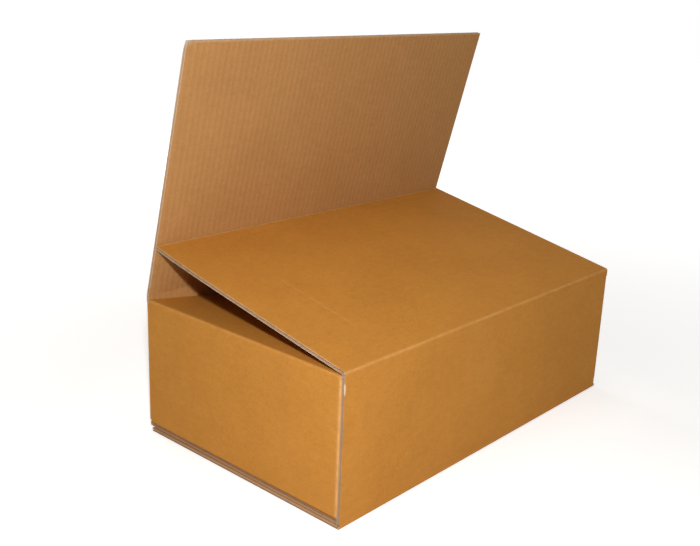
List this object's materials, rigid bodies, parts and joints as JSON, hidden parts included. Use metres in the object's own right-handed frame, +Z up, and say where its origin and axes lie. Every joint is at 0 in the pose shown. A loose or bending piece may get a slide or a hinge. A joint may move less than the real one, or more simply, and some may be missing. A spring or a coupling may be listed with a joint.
{
  "type": "open cardboard box",
  "caption": "Oblong fluted cardboard box, its end flaps folded in and its two full-width lid flaps hinged on the long walls, one half closed and one standing open.",
  "frame": {"origin": "middle of the box's plan, on the surface it stands on", "axes": "+X along the box, +Y from the front wall to the back wall, +Z up"},
  "size_m": [0.5, 0.3, 0.4448],
  "materials": {
    "board": "matt brown kraft liner over fluted board"
  },
  "bodies": {
    "box_body": {"box_body": "board"},
    "front_flap": {"front_flap": "board"},
    "back_flap": {"back_flap": "board"}
  },
  "joints": [
    {"name": "front_flap_hinge", "type": "hinge", "parent": "box_body", "child": "front_flap", "pos_m": [0, -0.15, 0.164], "axis": [1, 0, 0], "range_deg": [-11.8, 201.5]},
    {"name": "back_flap_hinge", "type": "hinge", "parent": "box_body", "child": "back_flap", "pos_m": [0, 0.15, 0.164], "axis": [-1, 0, 0], "range_deg": [0, 137.5]}
  ]
}
